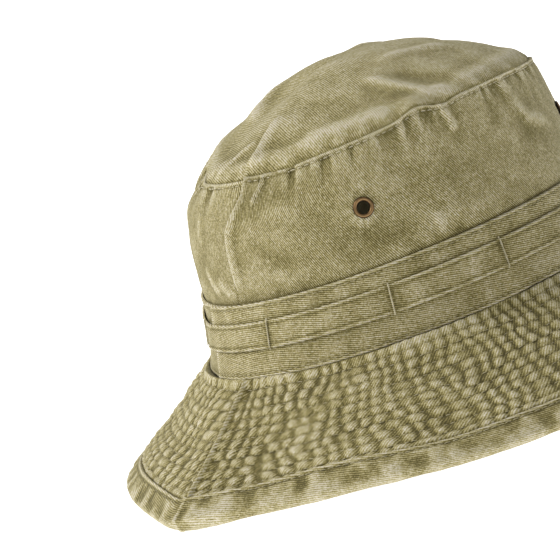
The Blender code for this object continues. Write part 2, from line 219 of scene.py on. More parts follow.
def seam_wave(angle):
    """How far wear has pulled the tip seam up or down: a kink at the back seam and a peak to its right."""
    away = degrees(angle)
    kink = 0.0012 * smooth((away - 7.6) / 1.6) * fading(away, 9, 8)
    peak = 0.0022 * hump(away - 67, 5) - 0.0012 * hump(away - 76, 4) - 0.0016 * hump(away + 34, 16)
    return kink + peak + 0.0007 * ring_noise(angle, 0 * angle, 0.045, 5)


def dent(share, angle):
    """Where the soft side has been pushed in, left of the back seam, at and over the band."""
    away = degrees(angle)
    low = -0.0042 * hump(away + 34, 22) * hump(share - 0.18, 0.28)
    high = -0.0014 * hump(away + 48, 6) * hump(share - 0.69, 0.12)
    swell = 0.0008 * hump(away + 30, 14) * hump(share - 0.72, 0.2)
    return low + high + swell


def shoulder(angle):
    """How far the tip seam is drawn in over the side's rounded top, most of all left of the back seam."""
    away = degrees(angle)
    return 0.0006 + 0.0088 * hump(away + 43, 32) + 0.0042 * hump(away + 86, 22)


def crown_side(share, angle):
    push = dent(share, angle) - shoulder(angle) * np.clip((share - 0.84) / 0.16, 0, 1) ** 2
    length = mix(HEAD_LENGTH, TIP_LENGTH, share) + push
    width = mix(HEAD_WIDTH, TIP_WIDTH, share) + push
    rise = mix(FOOT_HEIGHT, SEAM_HEIGHT, share) - share * SEAM_DIP * np.cos(2 * angle)
    return oval(length, width, angle, rise + seam_wave(angle) * np.clip(share, 0, 1) ** 6)


def crown_tip(share, angle):
    out = np.abs(1 - share)
    slack = 0.95 * hump(degrees(angle) + 30, 46)
    rise = SEAM_HEIGHT - SEAM_DIP * np.cos(2 * angle) * out**2 + DOME_RISE * (1 - out ** (DOME_POWER - slack))
    pull = (shoulder(angle) - dent(1.0, angle)) * out
    return oval(TIP_LENGTH * out - pull, TIP_WIDTH * out - pull, angle, rise + seam_wave(angle) * out**8)


def brim_wave(angle):
    """The brim's edge is turned up at the back, and lies a little unevenly."""
    away = np.minimum(np.abs(turn(angle)), BACK_LIFT_REACH)
    lifted = BACK_LIFT * (1 + np.cos(math.pi * away / BACK_LIFT_REACH)) / 2
    for place, width, height in ((34, 14, 0.0012), (128, 30, 0.0014), (-120, 30, 0.0012)):
        lifted += height * hump(degrees(angle) - place, width)
    return lifted


def brim(share, angle):
    extra = corner(angle) - 0.0018 * hump(degrees(angle) + 30, 22)
    edge = oval(BRIM_LENGTH + extra, BRIM_WIDTH + extra, angle, BRIM_EDGE_HEIGHT + brim_wave(angle))
    push = dent(0.0, angle)
    start = oval(HEAD_LENGTH + push, HEAD_WIDTH + push, angle, FOOT_HEIGHT + 0 * angle)
    sag = -0.0012 * np.sin(math.pi * np.clip(share, 0, 1))
    share = np.asarray(share)[..., None]
    return mix(start, edge, share) + np.stack([0 * sag, 0 * sag, sag], -1)


def normal(surface, share, angle):
    step = 1e-4
    share = np.clip(share, -1.0, 1 - 2 * step)
    along = surface(share + step, angle) - surface(share - step, angle)
    around = surface(share, angle + step) - surface(share, angle - step)
    out = np.cross(around, along) * (-1 if surface is brim else 1)
    return out / np.maximum(np.linalg.norm(out, axis=-1, keepdims=True), 1e-12)


def off(surface, share, angle, distance):
    """Points at distances outside a surface."""
    share, angle = np.broadcast_arrays(np.asarray(share, float), np.asarray(angle, float))
    return surface(share, angle) + normal(surface, share, angle) * np.asarray(distance)[..., None]


def angle_at_arc(arc, share):
    """The angle at a length round the crown from the front seam, and the whole length to the back seam."""
    angles = np.linspace(0, math.pi, 721)
    points = oval(mix(HEAD_LENGTH, TIP_LENGTH, share), mix(HEAD_WIDTH, TIP_WIDTH, share), angles, 0.0)
    gone = np.concatenate([[0], np.cumsum(np.linalg.norm(np.diff(points, axis=0), axis=1))])
    return float(np.interp(arc, gone, angles)), float(gone[-1])


# ---- Meshes


def make_mesh(name, points, faces, uv=None, tone=None):
    """An object from points and face arrays, turned outwards, with the cloth's coordinates and its tone: wear
    with painted light and shade.
    """
    if volume(points, faces) < 0:
        faces = [f[:, ::-1] for f in faces]
    mesh = bpy.data.meshes.new(name)
    corners = np.concatenate([f.ravel() for f in faces]).astype(np.int32)
    sizes = np.concatenate([np.full(len(f), f.shape[1]) for f in faces])
    mesh.vertices.add(len(points))
    mesh.vertices.foreach_set("co", points.astype(np.float32).ravel())
    mesh.loops.add(len(corners))
    mesh.loops.foreach_set("vertex_index", corners)
    mesh.polygons.add(len(sizes))
    mesh.polygons.foreach_set("loop_start", np.concatenate([[0], np.cumsum(sizes)[:-1]]).astype(np.int32))
    mesh.update(calc_edges=True)
    mesh.validate()
    if uv is not None:
        layer = mesh.uv_layers.new(name="cloth")
        layer.data.foreach_set("uv", uv[corners].astype(np.float32).ravel())
    if tone is not None:
        layer = mesh.attributes.new("tone", "FLOAT", "POINT")
        layer.data.foreach_set("value", tone.astype(np.float32))
    mesh.shade_smooth()
    mesh.set_sharp_from_angle(angle=math.radians(60))
    piece = bpy.data.objects.new(name, mesh)
    bpy.context.scene.collection.objects.link(piece)
    return piece


def volume(points, faces):
    """Six times the volume that faces close in, negative if they point inwards."""
    total = 0.0
    for f in faces:
        for k in range(1, f.shape[1] - 1):
            a, b, c = points[f[:, 0]], points[f[:, k]], points[f[:, k + 1]]
            total += float(np.sum(a * np.cross(b, c)))
    return total


def shell(name, outer, inner, uv, tone, closed=False, pole=False, cut=None):
    """A closed sheet of cloth between an outer and an inner grid of points (rows, columns).

    Closed joins the last column to the first. Pole closes the last row over a middle point.
    Cut marks the cells (rows - 1, columns) that are left out as a hole.
    """
    rows, columns = outer.shape[:2]
    index = np.arange(rows * columns).reshape(rows, columns)
    right = np.roll(index, -1, axis=1) if closed else index[:, 1:]
    left = index if closed else index[:, :-1]
    cells = np.stack([left[:-1], right[:-1], right[1:], left[1:]], -1)
    cells = cells[~cut[:, : cells.shape[1]]] if cut is not None else cells.reshape(-1, 4)
    tips = np.zeros((0, 3), int)
    points, back = outer.reshape(-1, 3), inner.reshape(-1, 3)
    uv, tone = uv.reshape(-1, 2), tone.ravel()
    if pole:
        tips = np.stack([left[-1], right[-1], np.full(len(left[-1]), len(points))], -1)
        points = np.vstack([points, outer[-1].mean(0)])
        back = np.vstack([back, inner[-1].mean(0)])
        uv = np.vstack([uv, uv[-columns:].mean(0)])
        tone = np.append(tone, tone[-columns:].mean())
    count = len(points)
    starts = np.concatenate([cells.ravel(), tips.ravel()])
    ends = np.concatenate([np.roll(cells, -1, axis=1).ravel(), np.roll(tips, -1, axis=1).ravel()])
    free = ~np.isin(starts * count + ends, ends * count + starts)
    a, b = starts[free], ends[free]
    walls = np.stack([b, a, a + count, b + count], -1)
    faces = [cells, cells[:, ::-1] + count, walls]
    if pole:
        faces += [tips, tips[:, ::-1] + count]
    points = np.vstack([points, back])
    return make_mesh(name, points, faces, np.vstack([uv, uv]), np.concatenate([tone, 0.6 * tone + 0.15]))


def blur(values, cells_down, cells_across, closed=False):
    """A box average, twice over."""
    for axis, cells in ((0, cells_down), (1, cells_across)):
        size = 2 * int(cells) + 1
        mode = "wrap" if closed and axis == 1 else "edge"
        for _ in range(2):
            pad = [(0, 0), (0, 0)]
            pad[axis] = (size // 2 + 1, size // 2)
            total = np.cumsum(np.pad(values, pad, mode=mode), axis=axis)
            ahead = np.take(total, np.arange(size, total.shape[axis]), axis=axis)
            values = (ahead - np.take(total, np.arange(total.shape[axis] - size), axis=axis)) / size
    return values


def wear_and_hollow_shade(relief, down, across, scale, closed=False):
    """Wear and painted shade from relief: 1 on crests that rub pale, 0 in hollows, which keep their dye and
    are painted dark as shade, 0.5 between.
    """
    return np.clip(0.5 + (relief - blur(relief, down, across, closed)) / (2 * scale), 0, 1)


def laid(surface, share, angle, height, face=1):
    """A row for stitches on one face of a surface: its points and the directions away from the cloth."""
    return off(surface, share, angle, face * height), normal(surface, share, angle) * face


def stitches(name, rows, pitch, length, radius, seed):
    """Rows of sewn stitches, each an arched thread that dives into the cloth at its ends."""
    piece_points, piece_faces, total = [], [], 0
    for line, lifts in rows:
        steps = np.linalg.norm(np.diff(line, axis=0), axis=1)
        gone = np.concatenate([[0], np.cumsum(steps)])
        count = int(gone[-1] / pitch + 0.5)
        shake = np.random.default_rng(seed + total).uniform(-0.06, 0.06, count) * pitch
        middle = (np.arange(count) + 0.5) * gone[-1] / count + shake
        rings = np.array([-1.0, -0.7, 0.0, 0.7, 1.0])
        at = middle[:, None] + rings[None] * length / 2
        centre = np.stack([np.interp(at, gone, line[:, k]) for k in range(3)], -1)
        rise = np.stack([np.interp(at, gone, lifts[:, k]) for k in range(3)], -1)
        ahead = centre[:, -1] - centre[:, 0]
        ahead /= np.linalg.norm(ahead, axis=-1, keepdims=True)
        side = np.cross(ahead[:, None, :], rise)
        side /= np.linalg.norm(side, axis=-1, keepdims=True)
        rise = np.cross(side, ahead[:, None, :])
        arch = (radius * (0.9 - 1.6 * rings**2))[None, :, None]
        wide = (radius * np.array([0.5, 0.9, 1.0, 0.9, 0.5]))[None, :, None, None]
        spin = np.linspace(0, 2 * math.pi, 6, endpoint=False)[:, None]
        ring = side[:, :, None, :] * np.cos(spin) + rise[:, :, None, :] * np.sin(spin)
        points = (centre + rise * arch)[:, :, None, :] + ring * wide
        index = np.arange(points[..., 0].size).reshape(points.shape[:3]) + total
        turned = np.roll(index, -1, axis=2)
        tube = np.stack([index[:, :-1], turned[:, :-1], turned[:, 1:], index[:, 1:]], -1).reshape(-1, 4)
        caps = np.vstack([index[:, -1], index[:, 0, ::-1]])
        piece_points.append(points.reshape(-1, 3))
        piece_faces.append([tube, caps])
        total += points[..., 0].size
    points = np.vstack(piece_points)
    return make_mesh(name, points, [np.vstack([f[k] for f in piece_faces]) for k in range(2)])


# ---- Materials


class Nodes:
    """Short names for the nodes that the cloths are made of."""

    def __init__(self, name):
        self.material = bpy.data.materials.new(name)
        self.material.use_nodes = True
        self.tree = self.material.node_tree
        self.shader = self.tree.nodes["Principled BSDF"]

    def put(self, kind, inputs=(), **settings):
        node = self.tree.nodes.new(kind)
        for key, value in settings.items():
            setattr(node, key, value)
        for key, value in dict(inputs).items():
            if isinstance(value, bpy.types.NodeSocket):
                self.tree.links.new(value, node.inputs[key])
            else:
                node.inputs[key].default_value = value
        return node

    def cloth(self):
        return self.put("ShaderNodeUVMap", uv_map="cloth").outputs[0]

    def place(self):
        return self.put("ShaderNodeTexCoord").outputs["Object"]

    def tone(self):
        return self.put("ShaderNodeAttribute", attribute_name="tone").outputs["Fac"]

    def math(self, operation, *values):
        return self.put("ShaderNodeMath", enumerate(values), operation=operation).outputs[0]

    def noise(self, place, cell, detail=2.0, rough=0.5):
        inputs = {"Vector": place, "Scale": 1 / cell, "Detail": detail, "Roughness": rough}
        return self.put("ShaderNodeTexNoise", inputs).outputs["Fac"]

    def ramp(self, value, stops):
        node = self.put("ShaderNodeValToRGB", {"Fac": value})
        points = node.color_ramp.elements
        while len(points) < len(stops):
            points.new(0.5)
        for point, (place, colour) in zip(points, stops):
            point.position = place
            point.color = (*colour, 1.0)
        return node.outputs["Color"]

    def span(self, value, low, high, to_low, to_high):
        inputs = {0: value, 1: low, 2: high, 3: to_low, 4: to_high}
        return self.put("ShaderNodeMapRange", inputs, clamp=True).outputs[0]

    def bump(self, height, strength, distance):
        inputs = {"Height": height, "Strength": strength, "Distance": distance}
        self.tree.links.new(self.put("ShaderNodeBump", inputs).outputs[0], self.shader.inputs["Normal"])

    def link(self, value, socket):
        self.tree.links.new(value, self.shader.inputs[socket])

    def set(self, **values):
        for key, value in values.items():
            self.shader.inputs[key.replace("_", " ")].default_value = value
        return self.material


def twill(name, slant, pitch=0.00080, shade=0.0, rib_depth=0.74, wear_and_shade=1.0):
    """Washed cotton twill: slanted ribs of uneven yarn and soft mottling, toned by the tone attribute:
    dye worn off the crests, painted shade in hollows and seams, and painted highlights on folded edges.

    Slant is the ribs' angle from the way round the hat, in degrees. Shade lightens or darkens the whole copy,
    part by part, as painted light and shade. The last argument sets how strongly the tone attribute shows.
    """
    n = Nodes(name)
    cloth = n.cloth()
    place = n.place()
    waver = n.math("MULTIPLY", n.math("SUBTRACT", n.noise(place, 0.012, 1.0), 0.5), 1.2)
    a = math.radians(slant)

    def along(x, y):
        inputs = {0: cloth, 1: (x / pitch, y / pitch, 0.0)}
        return n.put("ShaderNodeVectorMath", inputs, operation="DOT_PRODUCT").outputs["Value"]

    across = n.math("ADD", along(-math.sin(a), math.cos(a)), waver)
    rib = n.math("MULTIPLY", n.math("PINGPONG", across, 0.5), 2.0)
    length = n.math("MULTIPLY", along(math.cos(a), math.sin(a)), 0.30)
    beside = n.math("MULTIPLY", across, 0.7)
    yarn = n.noise(n.put("ShaderNodeCombineXYZ", {0: length, 1: beside}).outputs[0], 0.8, 1.0)
    fleck = n.noise(place, 0.00065, 1.0, 0.6)
    patch = n.noise(place, 0.0060, 3.0, 0.62)
    cloud = n.noise(place, 0.030, 2.0, 0.5)
    tone = n.tone()
    # Tone carries wear with painted shade and highlights; shade shifts the whole copy as painted light and
    # shade.
    value = n.math("MULTIPLY_ADD", n.math("SUBTRACT", tone, 0.5), 0.62 * wear_and_shade, 0.47 + shade)
    for part, weight in ((rib, rib_depth), (yarn, 0.64), (fleck, 0.92), (patch, 0.24), (cloud, 0.22)):
        value = n.math("MULTIPLY_ADD", n.math("SUBTRACT", part, 0.5), weight, value)
    deepest = tuple(0.5 * c for c in KHAKI_DARK)
    stops = [(0.0, deepest), (0.22, KHAKI_DARK), (0.46, KHAKI), (0.68, KHAKI_PALE), (0.95, KHAKI_LIGHT)]
    n.link(n.ramp(value, stops), "Base Color")
    n.link(n.span(fleck, 0.3, 0.7, 0.96, 0.84), "Roughness")
    n.bump(n.math("MULTIPLY_ADD", yarn, 0.9, rib), 0.6, 0.00018)
    return n.set(Sheen_Weight=0.12, Sheen_Roughness=0.5, Sheen_Tint=(0.95, 0.91, 0.72, 1.0))


def plain_cloth(name, dark, base, light, cell=0.0008):
    """A plain weave: yarns over and under each other."""
    n = Nodes(name)
    cloth = n.cloth()
    place = n.place()
    parts = n.put("ShaderNodeSeparateXYZ", {0: cloth}).outputs
    warp = n.math("SINE", n.math("MULTIPLY", parts[0], 2 * math.pi / cell))
    weft = n.math("SINE", n.math("MULTIPLY", parts[1], 2 * math.pi / cell))
    weave = n.math("MULTIPLY", warp, weft)
    patch = n.noise(place, 0.008, 3.0, 0.6)
    value = n.math("MULTIPLY_ADD", weave, 0.10, n.math("MULTIPLY_ADD", patch, 0.9, 0.05))
    n.link(n.ramp(value, [(0.15, dark), (0.5, base), (0.85, light)]), "Base Color")
    n.link(n.span(patch, 0.3, 0.7, 0.9, 0.8), "Roughness")
    n.bump(weave, 0.4, 0.0001)
    return n.set(Sheen_Weight=0.1, Sheen_Roughness=0.5)


def thread_material(name, dark, light):
    """Plied sewing thread, a little uneven in its dye."""
    n = Nodes(name)
    place = n.place()
    patch = n.noise(place, 0.0016, 2.0)
    n.link(n.ramp(patch, [(0.3, dark), (0.7, light)]), "Base Color")
    n.link(n.span(patch, 0.3, 0.7, 0.75, 0.6), "Roughness")
    n.bump(n.noise(place, 0.0003, 1.0), 0.5, 0.0001)
    return n.set(Sheen_Weight=0.1)


def brass_material():
    """Antique brass: brown lacquer, rubbed through to metal on the roll."""
    n = Nodes("antique_brass")
    place = n.place()
    patch = n.noise(place, 0.0011, 3.0, 0.6)
    value = n.math("MULTIPLY_ADD", n.math("SUBTRACT", patch, 0.5), 0.7, n.tone())
    stops = [(0.15, (0.015, 0.008, 0.004)), (0.45, (0.085, 0.046, 0.019)), (0.85, (0.26, 0.162, 0.072))]
    n.link(n.ramp(value, stops), "Base Color")
    n.link(n.span(value, 0.2, 0.8, 0.55, 0.34), "Roughness")
    n.bump(patch, 0.25, 0.0001)
    return n.set(Metallic=0.85)


def floor_material():
    """A white table that glows outside the hat's outline as painted light, so that no shadow shows, and is
    painted dark beneath it as a shadow.
    """
    n = Nodes("pale_floor")
    place = n.place()
    flat = n.put("ShaderNodeVectorMath", {0: place, 1: (1.0, 1.0, 0.0)}, operation="MULTIPLY").outputs[0]
    reach = n.put("ShaderNodeVectorMath", {0: flat}, operation="LENGTH").outputs["Value"]
    # Painted shadow: the floor's colour turns nearly black beneath the hat.
    n.link(n.ramp(reach, [(0.100, (0.03, 0.03, 0.03)), (0.128, (0.55, 0.55, 0.55))]), "Base Color")
    # Painted light: the floor glows outside the hat's outline, washing out its shadow.
    n.link(n.span(reach, 0.113, 0.133, 0.0, 1.20), "Emission Strength")
    return n.set(Roughness=0.9, Emission_Color=(1.0, 1.0, 1.0, 1.0))


# Copies of one twill; each copy's shade lightens or darkens it as painted light and shade for its part: the
# tip is painted lighter, the brim darker.
MATERIALS = {
    "crown": twill("crown_twill", -57, shade=-0.09),
    "tip": twill("tip_twill", 64, pitch=0.00086, shade=0.06, rib_depth=0.60),
    "band": twill("band_twill", -13, shade=-0.06),
    "strip": twill("strip_twill", -13, shade=-0.06),
    "brim": twill("brim_twill", -48, pitch=0.00108, shade=-0.13, rib_depth=0.44),
    "binding": twill("binding_twill", -8, pitch=0.00094, shade=-0.09, rib_depth=0.56),
    "tape": twill("tape_twill", -45, shade=-0.08, wear_and_shade=0.4),
    "sweatband": plain_cloth("sweatband_cotton", (0.20, 0.17, 0.09), (0.36, 0.32, 0.20), (0.46, 0.42, 0.29)),
    "lining": plain_cloth("interlining_felt", (0.50, 0.48, 0.42), (0.66, 0.64, 0.58), (0.76, 0.75, 0.70)),
    "label": plain_cloth("label_satin", (0.62, 0.60, 0.54), (0.74, 0.72, 0.66), (0.84, 0.82, 0.78), 0.0004),
    "thread": thread_material("khaki_thread", (0.24, 0.205, 0.095), (0.45, 0.405, 0.25)),
    "pale_thread": thread_material("pale_thread", (0.36, 0.32, 0.19), (0.56, 0.51, 0.36)),
    "brass": brass_material(),
}


def dress(piece, material, slot, *nodes):
    piece.data.materials.append(MATERIALS[material])
    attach(piece, "root")
    if nodes:
        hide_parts(*nodes)
    return piece


# ---- Crown


SIDE_FOLDS = [
    # (path as degrees right of the back seam and share of the side's height), width, height, lean, fade
    (((11.5, 1.0), (9.2, 0.94), (7.4, 0.87)), 0.0014, 0.0016, 0.3, 0.2),
    (((73, 1.02), (74.6, 0.97), (76.2, 0.92), (76.8, 0.84)), 0.0020, 0.0017, 0.3, 0.2),
    (((62.5, 0.56), (63.6, 0.47), (64.6, 0.38)), 0.0018, 0.0009, 0.4, 0.3),
    (((-17, 0.60), (-12, 0.50), (-6.5, 0.40)), 0.0022, 0.0011, 0.3, 0.3),
    (((-9, 0.54), (-4, 0.45), (0.5, 0.37)), 0.0022, 0.0010, 0.3, 0.3),
    (((12, 0.86), (20, 0.80), (30, 0.77)), 0.0060, 0.0009, 0.0, 0.4),
    (((30, 0.62), (48, 0.52), (66, 0.50)), 0.0080, -0.0010, 0.0, 0.4),
    (((8, 0.74), (14, 0.62), (26, 0.50)), 0.0050, -0.0008, 0.0, 0.4),
    (((-20, 0.90), (-17, 0.78), (-16, 0.66)), 0.0030, 0.0008, 0.0, 0.4),
    (((100, 0.90), (106, 0.75), (118, 0.66)), 0.0040, 0.0012, 0.2, 0.4),
    (((150, 0.60), (160, 0.50), (176, 0.47)), 0.0040, 0.0011, 0.2, 0.4),
    (((-80, 0.88), (-86, 0.72), (-98, 0.62)), 0.0040, 0.0012, 0.2, 0.4),
    (((-130, 0.56), (-142, 0.48), (-160, 0.45)), 0.0040, 0.0010, 0.2, 0.4),
]
TIP_FOLDS = [
    # (path as x, y in millimetres), width, height, lean, fade
    (((-80, -13), (-70, -12.4), (-55, -9.5), (-42, -5.5)), 0.0030, 0.0022, -0.35, 0.3),
    (((-80, 10), (-70, 8.5), (-63, 4.5), (-57, -4)), 0.0026, 0.0016, 0.3, 0.3),
    (((-76, 20), (-68, 17), (-60, 13)), 0.0024, 0.0012, 0.3, 0.3),
    (((-23, -32), (-20.5, -40), (-18.5, -52), (-15, -64), (-4, -72)), 0.0036, 0.0014, 0.3, 0.25),
    (((-10, -40), (-7, -54), (2, -66)), 0.0070, -0.0018, 0.0, 0.4),
    (((-8, -31), (12, -36), (34, -41)), 0.0040, 0.0013, 0.2, 0.3),
    (((-64, -27), (-50, -40), (-40, -51), (-28, -62)), 0.0060, 0.0016, 0.0, 0.3),
    (((-52, -16), (-40, -26), (-30, -38)), 0.0080, -0.0010, 0.0, 0.4),
    (((-40, 30), (-20, 36), (5, 34)), 0.0060, 0.0020, 0.2, 0.4),
    (((20, 20), (42, 12), (60, 14)), 0.0060, 0.0020, 0.2, 0.4),
    (((30, -20), (48, -22), (66, -14)), 0.0060, -0.0016, 0.0, 0.4),
    (((10, 62), (16, 48), (28, 38)), 0.0040, 0.0018, -0.2, 0.3),
]


def eyelets():
    """Angle and share of the side's height of each eyelet, in the order of the CAD nodes."""
    share = (EYELET_HEIGHT - FOOT_HEIGHT) / PANEL
    _, half = angle_at_arc(0.0, share)
    front, rear = angle_at_arc(EYELET_ARC, share)[0], angle_at_arc(half - EYELET_ARC, share)[0]
    return [(rear, share), (front, share), (-front, share), (-rear, share)]


def eyelet_polar(share, angle, at, level):
    """Distance and direction from an eyelet along the crown's side."""
    u = turn(angle, at) * EYELET_RADIUS
    v = (share - level) * SIDE_SLOPE
    return np.hypot(u, v), np.arctan2(v, u)


def side_relief(share, angle):
    up = share * PANEL
    below = (1 - share) * SIDE_SLOPE
    rough = 0.0010 * ring_noise(angle, up, 0.036, 11) + 0.00045 * ring_noise(angle, up, 0.014, 12)
    rough += 0.00016 * ring_noise(angle, up, 0.0055, 13)
    u = turn(angle) * CROWN_RADIUS + 0.0012 * ring_noise(angle, up, 0.012, 15)
    v = share * SIDE_SLOPE
    for path, width, height, lean, fade in SIDE_FOLDS:
        path = [(math.radians(d) * CROWN_RADIUS, s * SIDE_SLOPE) for d, s in path]
        rough += fold(u, v, path, width, height, lean, fade)
    free = smooth((up - BAND_TOP + 0.001) / 0.010)
    rough = rough * free - 0.0002 * (1 - free)
    above_band = hump(up - BAND_TOP - 0.002, 0.004)
    rough += 0.00028 * above_band * ring_noise(angle, 0 * up, 0.0065, 16)
    pucker = ring_noise(angle, below, 0.0052, 17, tall=3.0)
    pucker += 0.5 * ring_noise(angle, below, 0.0027, 18, tall=3.0)
    rough += 0.00042 * pucker * smooth(below / 0.002) * fading(below, 0.002, 0.0070)
    hollow = smooth((ring_noise(angle, 0 * below, 0.0038, 20) - 0.05) / 0.55)
    rough -= 0.0012 * hollow * smooth(below / 0.0018) * fading(below, 0.0028, 0.0042)
    for at, level in eyelets():
        apart, spin = eyelet_polar(share, angle, at, level)
        gather = 0.00016 * np.cos(9 * spin + 2 * np.cos(spin)) * hump(apart - 0.0068, 0.0022)
        rough = rough * smooth((apart - 0.0042) / 0.005) + gather - 0.0001 * hump(apart, 0.006)
    lip = 1 - smooth((below - 0.0009) / 0.0005)
    notch = 0.00018 * ring_noise(angle, 0 * up, 0.0017, 19)
    rough += lip * (0.00036 * rounded(below, 0.0006) - 0.0002 + notch)
    return rough - 0.00026 * hump(below - 0.0019, 0.00040)


def seam_turn(share):
    """How far the back seam veers to the right as it nears the tip seam."""
    return math.radians(9.3) * smooth((share - 0.74) / 0.27) - math.radians(2.2) * hump(share - 0.70, 0.16)


def side_angle(share, angle):
    """Bends the panels' edges beside the back seam, and leaves the rest where it is."""
    return angle + seam_turn(share) * np.exp(-np.abs(turn(angle)) / 0.32)


def seam_relief(share, angle, hand):
    """The right panel's edge is folded over the left one's at the back and front seams."""
    up = share * PANEL
    free = smooth((up - 0.036) / 0.006)
    rough = 0 * angle
    for seam in (BACK, FRONT):
        away = np.abs(turn(angle, seam)) * CROWN_RADIUS
        if hand == "right":
            rough += free * 0.0011 * (1 - smooth((away - 0.0006) / 0.0075)) * smooth(away / 0.0007)
            rough -= free * 0.0002 * hump(away - 0.0062, 0.0008)
        else:
            rough -= 0.0005 * np.exp(-away / 0.0020)
    return rough


def make_crown_side(hand):
    sign = -1 if hand == "right" else 1
    by_seam = 0.0050 / CROWN_RADIUS
    spread = spaced(0.0, (by_seam, 9), (math.pi - by_seam, 300), (math.pi, 9))
    angles = np.sort(np.clip(spread, TRIM, math.pi - TRIM) * sign)
    shares = spaced(0.0005 / PANEL, (0.34, 16), (0.90, 60), (1.0, 38))
    share, angle = grid(shares, angles)
    relief = side_relief(share, angle) + seam_relief(share, angle, hand)
    bent = side_angle(share, angle)
    outer = off(crown_side, share, bent, relief)
    inner = off(crown_side, share, bent, np.minimum(relief - CLOTH, -0.0006))
    flat = share * SIDE_SLOPE
    below = SIDE_SLOPE - flat
    tone = 0.5 + 0.8 * (wear_and_hollow_shade(relief, 5, 4, 0.00042) - 0.5)
    # Painted highlight on the rubbed-pale folded top edge of the tip seam, and painted shade in the groove of
    # its topstitching.
    tone += 0.34 * hump(below - 0.0004, 0.0006) - 0.26 * hump(below - 0.0019, 0.0005)
    # Painted shade along the band's upper edge.
    tone -= 0.5 * hump(share * PANEL - BAND_TOP, 0.0009)
    # Beside the seams: a painted highlight where the right panel's folded edge steps up, painted shade in the
    # seam's gap, and painted shade on the left panel beside it.
    away = np.abs(turn(angle)) * CROWN_RADIUS
    if hand == "right":
        edge = 0.35 * hump(away - 0.0009, 0.0006) - 0.5 * np.exp(-away / 0.0004)
        edge *= smooth((share * PANEL - 0.036) / 0.006)
    else:
        edge = -0.35 * np.exp(-away / 0.0012)
    tone = np.clip(tone + edge, 0, 1)
    cut = np.zeros((len(shares) - 1, len(angles)), bool)
    for at, level in eyelets():
        apart, _ = eyelet_polar(share, bent, at, level)
        centre = (apart[:-1, :-1] + apart[1:, 1:]) / 2
        cut[:, :-1] |= centre < 0.0034
    uv = np.stack([turn(angle) * CROWN_RADIUS, flat], -1)
    piece = shell(f"crown_side_{hand}_cloth", outer, inner, uv, tone, cut=cut)
    return dress(piece, "crown", "crown", f"crown_side_{hand}")


def tip_relief(share, angle):
    out = 1 - share
    x, y = SHIFT + TIP_LENGTH * out * np.cos(angle), TIP_WIDTH * out * np.sin(angle)
    inside = share * TIP_SLOPE
    rough = 0.0011 * flat_noise(x, y, 0.034, 21) + 0.00050 * flat_noise(x, y, 0.015, 22)
    rough += 0.00018 * flat_noise(x, y, 0.006, 23)
    u, v = x + 0.0012 * flat_noise(x, y, 0.014, 24), y + 0.0012 * flat_noise(x, y, 0.014, 25)
    for path, width, height, lean, fade in TIP_FOLDS:
        path = [(a / 1000, b / 1000) for a, b in path]
        rough += fold(u, v, path, width, height, lean, fade)
    rough *= smooth((inside - 0.0005) / 0.007)
    pucker = ring_noise(angle, inside, 0.0060, 26, tall=3.0)
    rough += 0.00045 * pucker * smooth(inside / 0.0015) * fading(inside, 0.0015, 0.0065)
    rough += 0.0008 * hump(np.hypot(x - 0.030, y + 0.005), 0.045)
    rough -= 0.0012 * hump(np.hypot(x - 0.018, y - 0.014), 0.018)
    return rough + 0.0011 * hump(inside - 0.0062, 0.0038) - 0.0007 * np.exp(-inside / 0.0010)


def make_crown_tip():
    angles = np.linspace(0, 2 * math.pi, 560, endpoint=False)
    shares = spaced(0.0, (0.0060 / TIP_SLOPE, 13), (0.985, 62))
    share, angle = grid(shares, angles)
    relief = tip_relief(share, angle)
    outer = off(crown_tip, share, angle, relief + GAP)
    inner = off(crown_tip, share, angle, relief + GAP - CLOTH)
    out = 1 - share
    uv = np.stack([TIP_LENGTH * out * np.cos(angle), TIP_WIDTH * out * np.sin(angle)], -1)
    tone = wear_and_hollow_shade(relief, 4, 7, 0.00050, closed=True)
    # Painted shadow where the tip's edge turns down into the seam.
    tone = np.clip(0.5 + 0.8 * (tone - 0.5) - 0.45 * np.exp(-share * TIP_SLOPE / 0.0012), 0, 1)
    piece = shell("crown_tip_cloth", outer, inner, uv, tone, closed=True, pole=True)
    return dress(piece, "tip", "crown", "crown_tip")


# ---- Band, loop strip and bars


def strip_of_cloth(name, shares, angles, base, thick, relief, edge_round, tone):
    """A strip of cloth with rounded edges, laid on the crown's side at a base distance."""
    share, angle = grid(shares, angles)
    edge = np.minimum(share - shares[0], shares[-1] - share) * SIDE_SLOPE
    rounding = rounded(edge, edge_round)
    lift = relief(share, angle, edge)
    height = base(angle)
    outer = off(crown_side, share, angle, height + thick * (0.35 + 0.65 * rounding) + lift * rounding)
    inner = off(crown_side, share, angle, height)
    uv = np.stack([(angle - angles[0]) * CROWN_RADIUS, share * SIDE_SLOPE], -1)
    # Wear with painted shade from the relief, plus the strip's painted edge highlights and shade.
    wear_and_shade = wear_and_hollow_shade(lift, 4, 4, 0.00030) + tone(share, angle, edge)
    return shell(name, outer, inner, uv, np.clip(wear_and_shade, 0, 1))


def edged(low, high, count, fine=0.0022):
    """Shares across a strip between two heights, closer together along its edges."""
    low, high = low / PANEL, high / PANEL
    near = fine / SIDE_SLOPE
    return spaced(low, (low + near, 8), (high - near, count), (high, 8))


def band_lift(angle):
    """1 where the band's upper end lies on the lower one, and less as it climbs there."""
    return np.clip(1 - (np.abs(turn(angle)) - LAP) / LAP_RAMP, 0, 1)


